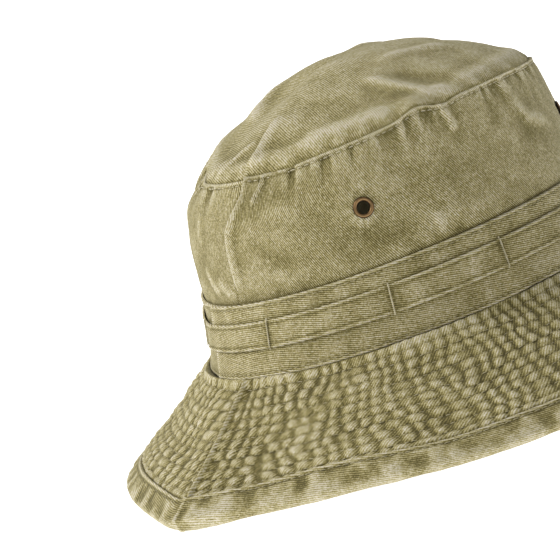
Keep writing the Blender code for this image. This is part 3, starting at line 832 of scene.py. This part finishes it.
def band_relief(share, angle, edge):
    up = share * PANEL
    rough = 0.00034 * ring_noise(angle, up, 0.020, 31) + 0.00018 * ring_noise(angle, up, 0.0085, 32)
    pucker = ring_noise(angle, up, 0.0058, 33, tall=2.5)
    rough += 0.00022 * pucker * np.exp(-edge / 0.006)
    bead = 0.00014 * (1 - smooth((edge - 0.0010) / 0.0006))
    bead += 0.00008 * ring_noise(angle, 0 * up, 0.0021, 34) * hump(edge, 0.001)
    return rough + bead - 0.00014 * hump(edge - 0.0018, 0.0005)


def edge_tone(angle, edge):
    """Folded edges rub pale and are painted as a highlight, with painted shade in the line of stitching
    beside them.
    """
    patchy_rub_and_highlight = 0.75 + 0.35 * ring_noise(angle, 0 * angle, 0.006, 35)
    return 0.40 * patchy_rub_and_highlight * hump(edge - 0.0003, 0.0006) - 0.22 * hump(edge - 0.0017, 0.0006)


def make_band():
    first, last = BACK + LAP, BACK - LAP - 2 * math.pi
    hem = 0.0024 / CROWN_RADIUS
    angles = spaced(first, (first - hem, 6), (last + hem, 640), (last, 6))

    def base(angle):
        lift = np.where(angle <= BACK + LAP + LAP_RAMP - 2 * math.pi, band_lift(angle), 0.0)
        return GAP + lift * (BAND_CLOTH + GAP)

    def relief(share, angle, edge):
        rough = band_relief(share, angle, edge)
        end = (angle - last) * CROWN_RADIUS
        under = smooth((first - angle) / math.radians(6))
        folded = 0.0004 * (1 - smooth((end - 0.0010) / 0.0006)) - 0.0011 * (1 - smooth(end / 0.0009))
        covered = 1 - smooth((first - angle - 2 * LAP) / math.radians(8))
        return rough * (1 - covered) * under + folded - 0.0001 * covered

    def tone(share, angle, edge):
        end = (angle - last) * CROWN_RADIUS
        up = share * PANEL
        # Painted shadow on the band along the loop strip's edges; the band's folded end is rubbed pale and
        # painted as a highlight.
        shade = hump(up - STRIP_LOW + 0.0003, 0.0008) + hump(up - STRIP_TOP - 0.0003, 0.0008)
        return edge_tone(angle, edge) + 0.4 * hump(end - 0.0006, 0.0006) - 0.30 * shade

    shares = edged(BAND_FOOT, BAND_TOP, 34)
    piece = strip_of_cloth("hat_band_cloth", shares, angles, base, BAND_CLOTH, relief, 0.0007, tone)
    return dress(piece, "band", "band", "hat_band")


def tack_angles():
    """Evenly round the crown, by the right, from the first bar beside the back seam."""
    share = STRIP_MIDDLE / PANEL
    _, half = angle_at_arc(0.0, share)
    found = []
    for k in range(TACKS):
        arc = FIRST_TACK + 2 * half * k / TACKS
        angle = angle_at_arc(abs(half - arc), share)[0]
        found.append(2 * BACK + (angle if arc > half else -angle))
    return found


def strip_base(angle):
    """The loop strip lies just off the band and stands away from it between the bars."""
    return 2 * GAP + BAND_CLOTH + band_lift(angle) * (BAND_CLOTH + GAP)


def from_tack(angle):
    """The distance round the crown to the nearest bar."""
    return np.min([np.abs(turn(angle, tack)) for tack in tack_angles()], axis=0) * CROWN_RADIUS


def strip_bow(angle):
    """0 at the bars, and 1 where the strip is free between them."""
    return smooth((from_tack(angle) - 0.0010) / 0.011)


def make_strip():
    meeting = tack_angles()[-1]
    angles = np.linspace(meeting - 2 * math.pi + TRIM, meeting - TRIM, 620)

    def base(angle):
        return strip_base(angle) + 0.0002 * strip_bow(angle)

    def relief(share, angle, edge):
        rough = band_relief(share, angle + 0.7, edge)
        bow = strip_bow(angle)
        return rough * (0.4 + 0.6 * bow) - 0.00040 * (1 - bow)

    shares = edged(STRIP_LOW, STRIP_TOP, 12)

    def tone(share, angle, edge):
        # Painted shade on the strip beside each bar.
        return edge_tone(angle, edge) - 0.40 * hump(from_tack(angle) - 0.0009, 0.0007)

    piece = strip_of_cloth("loop_strip_cloth", shares, angles, base, STRIP_CLOTH, relief, 0.0006, tone)
    return dress(piece, "strip", "strip", "loop_strip")


def make_tack(number, angle):
    """A bar of close wraps of thread, slanted to and fro."""
    wraps = 34
    width = TACK_WIDTH / 2
    ups = (STRIP_MIDDLE + np.linspace(-0.5, 0.5, wraps) * TACK_HEIGHT) / PANEL
    half = width / 2 / CROWN_RADIUS
    on_strip = np.abs(ups * PANEL - STRIP_MIDDLE) < STRIP_HEIGHT / 2
    base = strip_base(angle) + np.where(on_strip, STRIP_CLOTH - 0.0001, 0.0003)
    rows = []
    for k in range(wraps):
        across = angle + np.linspace(-half, half, 4)
        slip = (0.4 if k % 2 else -0.4) * np.linspace(-1, 1, 4) * TACK_HEIGHT / wraps / PANEL
        rows.append(laid(crown_side, ups[k] + slip, across, base[k] + 0.00012))
    name = f"bartack_{number:02d}"
    piece = stitches(name + "_thread", rows, width, 1.04 * width, 0.00019, 100 + number)
    return dress(piece, "pale_thread", "thread", name)


# ---- Brim


def quilt(share, angle, seed):
    """Relief of a quilted layer: rows of pillows whose valleys line up, more or less, from row to row."""
    place = share / BINDING_START * ROWS
    row = np.clip(np.floor(place), 0, ROWS)
    t = place - row
    low = 0.50 + 0.14 * smooth(-turn(angle) / 0.04)
    across = low + (1 - low) * np.clip(4 * t * (1 - t), 0, 1) ** 0.75
    u = angle / (2 * math.pi)
    drift = 0.22 * place * (turn(angle) < 0)
    warp = 0.46 * noise(u * 42, place * 0.24, seed, 42)
    warp += 0.18 * noise(u * PUCKERS, place * 0.6, seed + 1, PUCKERS)
    stagger = 0.40 * noise(u * 46, row * 0.97 + 0.5, seed + 2, 46)
    lean = 0.30 * (t - 0.5) * noise(u * 50, place * 0.5, seed + 7, 50)
    phase = u * PUCKERS * np.where(turn(angle) < 0, 0.74, 1.0) + warp + stagger + drift + lean
    lump = (np.sin(math.pi * phase) ** 2 + 0.03) ** 0.50
    depth = np.clip(0.80 + 0.36 * noise(u * 62, place * 0.5, seed + 3, 62), 0.45, 1.0)
    size = 1 + 0.28 * noise(u * PUCKERS, row * 0.93 + 0.2, seed + 4, PUCKERS)
    full = mix(0.0016, 0.0013, smooth(turn(angle) / 0.5)) * across * size * (1 - depth * (1 - lump))
    return full + 0.0010 * noise(u * 30, place * 0.30, seed + 6, 30)


def brim_relief(share, angle, seed):
    down = share * BRIM_SLOPE
    bound = (share - BINDING_START) * BRIM_SLOPE
    quilted = quilt(share, angle, seed) * smooth(-(bound + 0.0009) / 0.0020) * smooth(down / 0.0010)
    inner = smooth(-bound / 0.002) * smooth(down / 0.002)
    ridge = 0 * share
    for seam in (BACK, FRONT):
        away = turn(angle, seam) * mix(HEAD_LENGTH, BRIM_AT_SEAM, share)
        ridge += 0.0029 * hump(away - 0.0014, 0.0016) * inner
        quilted *= 1 - hump(away - 0.0006, 0.0024)
        ridge -= 0.0005 * hump(away + 0.0018, 0.0012) * inner
    return quilted + ridge


def brim_shares():
    """Shares across the brim, closer together in the valleys between the rows of quilting."""
    fine = np.concatenate([k + np.array([0, 0.06, 0.16, 0.32, 0.5, 0.68, 0.84, 0.94]) for k in range(ROWS)])
    return np.concatenate([fine / ROWS * BINDING_START, np.linspace(BINDING_START, 1.0, 5)])


def make_brim_layer(hand, top):
    sign = -1 if hand == "right" else 1
    face = 1 if top else -1
    seed = 51 if top else 71
    by_seam = 0.045
    spread = spaced(TRIM, (by_seam, 28), (math.pi - by_seam, 426), (math.pi - TRIM, 28))
    angles = np.sort(spread * sign)
    shares = brim_shares()
    share, angle = grid(shares, angles)
    relief = brim_relief(share, angle, seed)
    bound = share > BINDING_START
    tuck = (0.0010 + 0.0010 * hump(turn(angle) + 0.15, 0.5)) * (1 - smooth(share * BRIM_SLOPE / 0.0042)) * top
    outer = off(brim, share, angle, face * (LAYER_FACE + tuck + np.where(bound, 0.0002, relief)))
    inner = off(brim, share, angle, face * LAYER_BACK)
    seam = turn(angle) * BRIM_RADIUS
    uv = np.stack([seam, share * BRIM_SLOPE], -1)
    wear_and_shade = wear_and_hollow_shade(relief, 4, 6, 0.00046)
    # Along the back seam's ridge: its crest rubbed pale and painted as a highlight, and a painted shadow
    # beside it.
    wear_and_shade += 0.45 * hump(seam - 0.0014, 0.0016) - 0.35 * hump(seam + 0.0016, 0.0011)
    # Painted shade just inside the binding's inner edge.
    wear_and_shade = np.clip(wear_and_shade - 0.25 * hump(share - BINDING_START, 0.012), 0, 1)
    name = f"brim_{'top' if top else 'under'}_{hand}"
    piece = shell(name + "_cloth", outer, inner, uv, wear_and_shade)
    dress(piece, "brim", "brim" if top else "brim_under", name)
    rows = []
    steps = np.sort(np.linspace(0.008, math.pi - 0.008, 900) * sign)
    for row in range(1, ROWS):
        at = row / ROWS * BINDING_START + 0.0035 * ring_noise(steps, 0 * steps + row * 0.5, 0.05, seed + 8)
        rows.append(laid(brim, at, steps, LAYER_FACE - 0.00002 + brim_relief(at, steps, seed), face))
    dress(stitches(name + "_quilting", rows, 0.0032, 0.0021, 0.00017, seed), "thread", "thread")


def make_interlining():
    angles = np.linspace(0, 2 * math.pi, 240, endpoint=False)
    share, angle = grid(np.linspace(0.004, 0.994, 30), angles)
    sway = 0.00005 * ring_noise(angle, share * BRIM_SLOPE, 0.008, 41, BRIM_RADIUS)
    outer = off(brim, share, angle, 0.00030 + sway)
    inner = off(brim, share, angle, -0.00030 + sway)
    uv = np.stack([outer[..., 0], outer[..., 1]], -1)
    piece = shell("brim_interlining_felt", outer, inner, uv, 0.5 + 0 * share, closed=True)
    return dress(piece, "lining", "interlining", "brim_interlining")


def binding_waver(angle):
    """How much wider the tape lies than it should."""
    away = degrees(angle)
    sewn = 0.0014 * hump(away - 26, 9) - 0.0013 * hump(away - 46, 9) - 0.0010 * hump(away + 44, 9)
    return sewn + 0.0004 * ring_noise(angle, 0 * angle, 0.04, 65, BRIM_RADIUS)


def binding_section(share, angle, out, lift):
    """Points of the folded tape, by share of the way from its upper edge round the nose to its lower one."""
    edge, start = brim(np.ones_like(angle), angle), brim(np.full_like(angle, 0.8), angle)
    down = edge - start
    down /= np.linalg.norm(down, axis=-1, keepdims=True)
    up = normal(brim, np.full_like(angle, 0.98), angle)
    half = math.pi / 2 * out
    flat = BINDING_WIDTH + binding_waver(angle)
    past = share * (2 * flat + 2 * half) - flat
    round_part = np.clip(past / (2 * half), 0, 1) * math.pi
    along = np.minimum(past, 0) - np.maximum(past - 2 * half, 0)
    nose = np.sin(round_part) * (BINDING_NOSE - GAP + 0.25 * lift)
    across = np.cos(round_part) * (out + lift)
    return edge + down * (along + nose)[..., None] + up * across[..., None]


def make_binding():
    lap = 0.10
    first, last = BACK + lap, BACK + 0.006 - 2 * math.pi
    angles = spaced(first, (last + 0.02, 600), (last, 8))
    share, angle = grid(spaced(0.0, (0.10, 10), (0.90, 34), (1.0, 10)), angles)
    from_edge = np.minimum(share, 1 - share) * TAPE_WIDTH
    over = smooth((last + lap + 0.10 - angle) / 0.10)
    covered = 1 - smooth((first - angle - lap * 0.95) / 0.05)
    pucker = ring_noise(angle, from_edge, 0.0052, 61, BRIM_RADIUS, 1.9)
    pucker += 0.6 * ring_noise(angle, from_edge, 0.0029, 62, BRIM_RADIUS, 1.9)
    body = smooth((from_edge - 0.0012) / 0.002) * (1 - 0.55 * smooth((from_edge - 0.008) / 0.005))
    relief = 0.00050 * pucker * body + 0.0003 * ring_noise(angle, from_edge, 0.030, 63, BRIM_RADIUS)
    relief += 0.0013 * hump(degrees(angle) + 27, 17) * np.exp(-share * TAPE_WIDTH / 0.0035)
    relief += 0.00014 * (1 - smooth((from_edge - 0.0010) / 0.0007))
    relief -= 0.00026 * hump(from_edge - 0.0022, 0.0006)
    relief = relief * (1 - covered) + 0.0011 * over
    end = (angle - last) * TAPE_END_RADIUS
    relief += 0.0004 * (1 - smooth((end - 0.0010) / 0.0008)) * (1 - covered)
    within = 0.00165
    outside = within + BINDING_CLOTH * (0.4 + 0.6 * rounded(from_edge, 0.0006))
    outer = binding_section(share, angle, outside, relief)
    inner = binding_section(share, angle, within, 0.0011 * over)
    for points in (outer, inner):
        points[..., 2] = np.maximum(points[..., 2], 0.0)
    uv = np.stack([(first - angle) * TAPE_RADIUS, share * TAPE_WIDTH], -1)
    tone = wear_and_hollow_shade(relief, 5, 5, 0.00034)
    # Folded edges and the folded end rubbed pale and painted as a highlight, and painted shade in the lines
    # of stitching; the tape is paler towards the nose, where it rubs.
    tone += 0.38 * hump(from_edge - 0.0005, 0.0008) - 0.25 * hump(from_edge - 0.0022, 0.0007)
    tone += 0.34 * smooth((from_edge - 0.0060) / 0.0060) + 0.35 * hump(end - 0.0006, 0.0007)
    piece = shell("brim_binding_tape", outer, inner, uv, np.clip(tone, 0, 1))
    dress(piece, "binding", "binding", "brim_binding")
    run = np.linspace(first - lap * 1.4, last + 0.006, 1500)
    rise = 0.0009 * smooth((last + lap + 0.10 - run) / 0.10)
    up = normal(brim, np.full(run.shape, 0.95), run)
    rows = [(binding_section(at, run, 0.00240, rise), up * face) for at, face in ((0.073, 1), (0.927, -1))]
    dress(stitches("brim_binding_stitching", rows, 0.0031, 0.0023, 0.00020, 64), "thread", "thread")


# ---- Seam stitching


def make_seam_stitching():
    """The topstitching under the tip seam, and the rows along the band's edges."""
    from_edge = 0.0018
    angles = np.linspace(0, 2 * math.pi, 2400)
    share = np.full(angles.shape, 1 - from_edge / SIDE_SLOPE)
    rows = [laid(crown_side, share, angles, side_relief(share, angles) + 0.00008)]
    dress(stitches("tip_seam_stitching", rows, 0.0030, 0.0021, 0.00024, 81), "pale_thread", "thread")
    rows = []
    run = np.linspace(BACK - LAP - 0.01, -BACK - LAP + 0.012, 2400)
    over = np.where(run <= -BACK + LAP + LAP_RAMP, band_lift(run), 0.0)
    for at in (BAND_FOOT + from_edge, BAND_TOP - from_edge):
        share = np.full(run.shape, at / PANEL)
        height = GAP + BAND_CLOTH + over * (BAND_CLOTH + GAP) + band_relief(share, run, from_edge)
        rows.append(laid(crown_side, share, run, height + 0.00002))
    dress(stitches("hat_band_stitching", rows, 0.0027, 0.0020, 0.00015, 82), "thread", "thread")


# ---- Inside


def inside_strip(name, node, low, high, angles, outer, thick, material, seed):
    """A strip of cloth inside the crown's side, hemmed along its edges."""
    shares = edged(low, high, 16, 0.0015)
    share, angle = grid(shares, angles)
    edge = np.minimum(share - shares[0], shares[-1] - share) * SIDE_SLOPE
    rough = 0.00009 * ring_noise(angle, share * 0.08, 0.012, seed) * smooth(edge / 0.002)
    hem = 0.00012 * (1 - smooth((edge - 0.0012) / 0.0006))
    outside = off(crown_side, share, angle, outer)
    within = off(crown_side, share, angle, outer - thick - rough - hem)
    uv = np.stack([(angle - angles[0]) * CROWN_RADIUS, share * SIDE_SLOPE], -1)
    piece = shell(name, outside, within, uv, wear_and_hollow_shade(-rough, 3, 4, 0.0002))
    return dress(piece, material, material, node)


def make_inside():
    round_ = np.linspace(BACK + 0.002, BACK - 0.002 + 2 * math.pi, 420)
    inside_strip("sweatband_cloth", "sweatband", 0.0005, 0.0325, round_, -0.0012, 0.0009, "sweatband", 91)
    half = 0.013 / HEAD_LENGTH
    label = np.linspace(BACK - half, BACK + half, 40)
    inside_strip("size_label_woven", "size_label", 0.0110, 0.0270, label, -0.0024, 0.0004, "label", 92)
    tape = 0.0060
    half = tape / HEAD_LENGTH
    for name, seam in (("back", BACK), ("front", FRONT)):
        across = np.linspace(seam - half, seam + half, 20)
        node = f"side_seam_tape_{name}"
        inside_strip(node + "_cloth", node, 0.0340, 0.0740, across, -0.0024, 0.0006, "tape", 93)
    angles = np.linspace(0, 2 * math.pi, 420, endpoint=False)
    steps = np.linspace(-1, 1, 17)[:, None]
    angle = np.broadcast_to(angles, (17, len(angles)))
    low = 1 - np.clip(-steps, 0, 1) * tape / SIDE_SLOPE
    high = np.clip(steps, 0, 1) * tape / TIP_SLOPE
    blend = smooth((steps + 0.35) / 0.7)[..., None]

    def layer(depth):
        side, tip = off(crown_side, low, angle, -depth), off(crown_tip, high, angle, -depth)
        return side * (1 - blend) + tip * blend

    uv = np.stack([angle * CROWN_RADIUS, steps * tape + 0 * angle], -1)
    piece = shell("tip_seam_tape_cloth", layer(0.0028), layer(0.0034), uv, 0.5 + 0 * angle, closed=True)
    dress(piece, "tape", "tape", "tip_seam_tape")


# ---- Eyelets


def make_eyelet(number, at, share):
    """A rolled brass eyelet: a round flange outside, a barrel through the cloth and a rolled edge inside."""
    place = crown_side(np.array([share]), np.array([at]))[0]
    axis = normal(crown_side, np.array([share]), np.array([at]))[0]
    basis = np.array(Vector(axis).to_track_quat("Z", "Y").to_matrix())
    half, middle = (EYELET_FLANGE - EYELET_HOLE) / 2, (EYELET_FLANGE + EYELET_HOLE) / 2
    barrel = EYELET_HOLE + 0.0004
    sink = CLOTH + 0.0005 + 3 * GAP
    arc = np.linspace(0, math.pi, 15)
    roll = list(zip(middle - half * np.cos(arc), GAP + 0.0002 + 0.00095 * np.sin(arc)))
    arc = np.linspace(0, math.pi, 9)[:-1]
    curl = list(zip(0.0034 + 0.0007 * np.cos(arc), -sink - 0.0006 * np.sin(arc)))
    wall = [(EYELET_FLANGE, GAP), (barrel, GAP), (barrel, -sink)]
    profile = np.array([(EYELET_HOLE, -sink)] + roll + wall + curl)
    spin = np.linspace(0, 2 * math.pi, 64, endpoint=False)
    ring = np.stack([np.cos(spin), np.sin(spin), 0 * spin], -1)
    local = profile[:, None, 0, None] * ring[None] + np.array([0, 0, 1.0]) * profile[:, None, 1, None]
    points = (local @ basis.T + place).reshape(-1, 3)
    rows, columns = len(profile), len(spin)
    index = np.arange(rows * columns).reshape(rows, columns)
    ahead, right = np.roll(index, -1, axis=0), np.roll(index, -1, axis=1)
    faces = [np.stack([index, right, np.roll(ahead, -1, axis=1), ahead], -1).reshape(-1, 4)]
    height = (profile[:, 1] - GAP) / 0.00115
    tone = np.clip(np.where(profile[:, 1] > GAP, 1.5 * height - 0.65, 0.1), 0.0, 1.0)
    piece = make_mesh(f"eyelet_{number}_rolled", points, faces, None, np.repeat(tone, columns))
    return dress(piece, "brass", "brass", f"eyelet_{number}")


# ---- Build


for hand in ("left", "right"):
    make_crown_side(hand)
make_crown_tip()
make_band()
make_strip()
for number, angle in enumerate(tack_angles(), start=1):
    make_tack(number, angle)
for hand in ("left", "right"):
    for top in (True, False):
        make_brim_layer(hand, top)
make_interlining()
make_binding()
make_seam_stitching()
make_inside()
for number, (at, share) in enumerate(eyelets(), start=1):
    make_eyelet(number, at, share)
for number in range(1, 5):
    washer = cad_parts[f"eyelet_washer_{number}"]
    for slot in washer.material_slots:
        slot.material = MATERIALS["brass"]

# ---- Stage, light and camera

bpy.ops.mesh.primitive_plane_add(size=40.0, location=(0, 0, -0.0004))
floor = bpy.context.object
floor.name = "floor"
floor.data.materials.append(floor_material())
floor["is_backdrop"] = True


def sun(name, direction, strength, spread, colour):
    """A wide, soft light that is as bright everywhere, shining from a direction."""
    data = bpy.data.lights.new(name, "SUN")
    data.energy = strength
    data.angle = math.radians(spread)
    data.color = colour
    lamp = bpy.data.objects.new(name, data)
    bpy.context.scene.collection.objects.link(lamp)
    lamp.rotation_euler = Vector(direction).to_track_quat("Z", "Y").to_euler()


sun("key", (-0.85, 0.58, 0.95), 2.86, 32.0, (1.0, 0.985, 0.95))

world = bpy.data.worlds.new("studio")
bpy.context.scene.world = world
world.use_nodes = True
world.node_tree.nodes["Background"].inputs["Color"].default_value = (1.0, 1.0, 0.98, 1.0)
world.node_tree.nodes["Background"].inputs["Strength"].default_value = 0.37
bpy.context.scene.view_settings.view_transform = "Standard"

AZIMUTH, ELEVATION, ROLL = math.radians(40.95), math.radians(10.0), math.radians(18.45)
DISTANCE, LENS = 1.056, 156.3
TARGET = Vector((-0.0305, 0.0415, 0.0642))


def make_camera():
    data = bpy.data.cameras.new("camera")
    data.sensor_width = 36.0
    data.lens = LENS
    data.clip_start, data.clip_end = 0.05, 60.0
    camera = bpy.data.objects.new("camera", data)
    bpy.context.scene.collection.objects.link(camera)
    level = math.cos(ELEVATION)
    back = Vector((-math.sin(AZIMUTH) * level, -math.cos(AZIMUTH) * level, math.sin(ELEVATION)))
    facing = (-back).to_track_quat("-Z", "Y").to_matrix().to_4x4()
    place = Matrix.Translation(TARGET + back * DISTANCE)
    camera.matrix_world = place @ facing @ Matrix.Rotation(-ROLL, 4, "Z")
    bpy.context.scene.camera = camera


make_camera()


def corners(box):
    return [list(map(float, corner_)) for corner_ in box]


{"cad": corners(cad_box), "visual": corners(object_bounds())}
